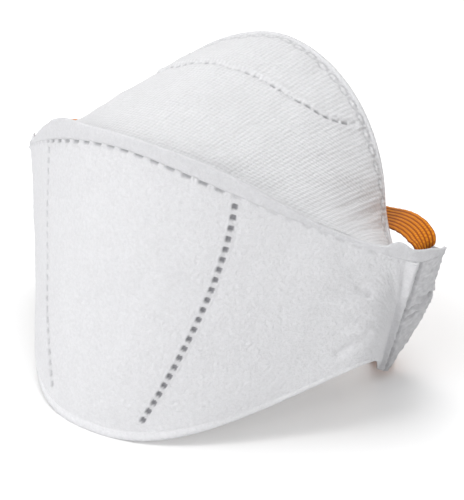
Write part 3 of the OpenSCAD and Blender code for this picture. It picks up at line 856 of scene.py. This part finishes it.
# ----------------------------------------------------------------------- stage
def backdrop(strength):
    """Pale floor that glows a little to the camera only, and so stays white, save for a painted shadow round
    the mask where the glow fades.
    """
    mat = bpy.data.materials.new("studio_floor")
    mat.use_nodes = True
    nodes, link = mat.node_tree.nodes, mat.node_tree.links.new
    bsdf = nodes["Principled BSDF"]
    bsdf.inputs["Base Color"].default_value = (0.88, 0.88, 0.88, 1)
    bsdf.inputs["Roughness"].default_value = 0.95
    bsdf.inputs["Emission Color"].default_value = (1, 1, 1, 1)
    glow = nodes.new("ShaderNodeMath")
    glow.operation = "MULTIPLY"
    glow.inputs[1].default_value = strength
    link(nodes.new("ShaderNodeLightPath").outputs["Is Camera Ray"], glow.inputs[0])
    # Painted shadow: inside a soft ellipse round the mask the glow drops to a fifth, so the floor there looks
    # shaded
    painted_shadow_ellipse = nodes.new("ShaderNodeMapping")
    painted_shadow_ellipse.inputs["Location"].default_value = (0.0, -0.42, 0.0)
    painted_shadow_ellipse.inputs["Scale"].default_value = (8.4, 9.2, 0.0)
    link(nodes.new("ShaderNodeTexCoord").outputs["Object"], painted_shadow_ellipse.inputs[0])
    reach = nodes.new("ShaderNodeVectorMath")
    reach.operation = "LENGTH"
    link(painted_shadow_ellipse.outputs[0], reach.inputs[0])
    painted_shadow_fade = nodes.new("ShaderNodeMapRange")
    painted_shadow_fade.interpolation_type = "SMOOTHSTEP"
    painted_shadow_fade.inputs[1].default_value, painted_shadow_fade.inputs[2].default_value = 0.75, 1.5
    painted_shadow_fade.inputs[3].default_value = 0.2
    link(reach.outputs["Value"], painted_shadow_fade.inputs[0])
    glow_with_painted_shadow = nodes.new("ShaderNodeMath")
    glow_with_painted_shadow.operation = "MULTIPLY"
    link(glow.outputs[0], glow_with_painted_shadow.inputs[0])
    link(painted_shadow_fade.outputs[0], glow_with_painted_shadow.inputs[1])
    link(glow_with_painted_shadow.outputs[0], bsdf.inputs["Emission Strength"])
    return mat


bpy.ops.mesh.primitive_plane_add(size=16)
floor = bpy.context.object
floor.name = "studio_floor"
floor.data.materials.append(backdrop(0.33))


def soft_box(strength, lean):
    """White surroundings that are brighter towards one direction, as a big soft box lights a table."""
    world = bpy.data.worlds.new("studio")
    bpy.context.scene.world = world
    world.use_nodes = True
    nodes, link = world.node_tree.nodes, world.node_tree.links.new
    back = nodes["Background"]
    back.inputs[0].default_value = (1, 1, 1, 1)
    towards = nodes.new("ShaderNodeVectorMath")
    towards.operation = "DOT_PRODUCT"
    towards.inputs[1].default_value = lean
    link(nodes.new("ShaderNodeTexCoord").outputs["Generated"], towards.inputs[0])
    total = nodes.new("ShaderNodeMath")
    total.operation = "ADD"
    total.inputs[1].default_value = strength
    link(towards.outputs["Value"], total.inputs[0])
    link(total.outputs[0], back.inputs[1])


soft_box(0.58, (-0.12, 0.42, 0.0))


def lamp(name, pos, size, power):
    """Round area light aimed at the middle of the mask."""
    data = bpy.data.lights.new(name, "AREA")
    data.shape, data.size, data.energy = "DISK", size, power
    ob = bpy.data.objects.new(name, data)
    bpy.context.scene.collection.objects.link(ob)
    ob.location = pos
    ob.rotation_euler = (Vector((0, 0.05, 0.04)) - Vector(pos)).to_track_quat("-Z", "Y").to_euler()


lamp("key", (-0.3, -1.0, 1.3), 0.9, 5.0)
lamp("top", (0.0, 0.1, 1.6), 0.9, 10.0)
lamp("front", (0.0, -1.5, 0.5), 0.7, 11.2)

# Camera at the photograph's angle: turned AZ round the mask and raised EL, DIST mm from LOOK_AT, and
# aimed a little to one side of it
AZ, EL, DIST, LENS = math.radians(38.43), math.radians(23.21), 600.05, 139.84138
LOOK_AT, AIM_RIGHT, AIM_DOWN = Vector((0, 68.8, 50)), 0.0056591, 0.0189192
right = Vector((math.cos(AZ), math.sin(AZ), 0))
ahead = Vector((-math.sin(AZ) * math.cos(EL), math.cos(AZ) * math.cos(EL), -math.sin(EL)))
above = right.cross(ahead)
eye = LOOK_AT - ahead * DIST
aim = (ahead + right * AIM_RIGHT - above * AIM_DOWN).normalized()
cam_data = bpy.data.cameras.new("camera")
cam_data.sensor_fit = "HORIZONTAL"
cam_data.sensor_width = 36.0
cam_data.lens = LENS
cam_data.clip_start, cam_data.clip_end = 0.01, 50
cam = bpy.data.objects.new("camera", cam_data)
bpy.context.scene.collection.objects.link(cam)
cam.location = eye * MM
cam.rotation_euler = aim.to_track_quat("-Z", "Y").to_euler()
bpy.context.scene.camera = cam
bpy.context.scene.view_settings.view_transform = "Standard"
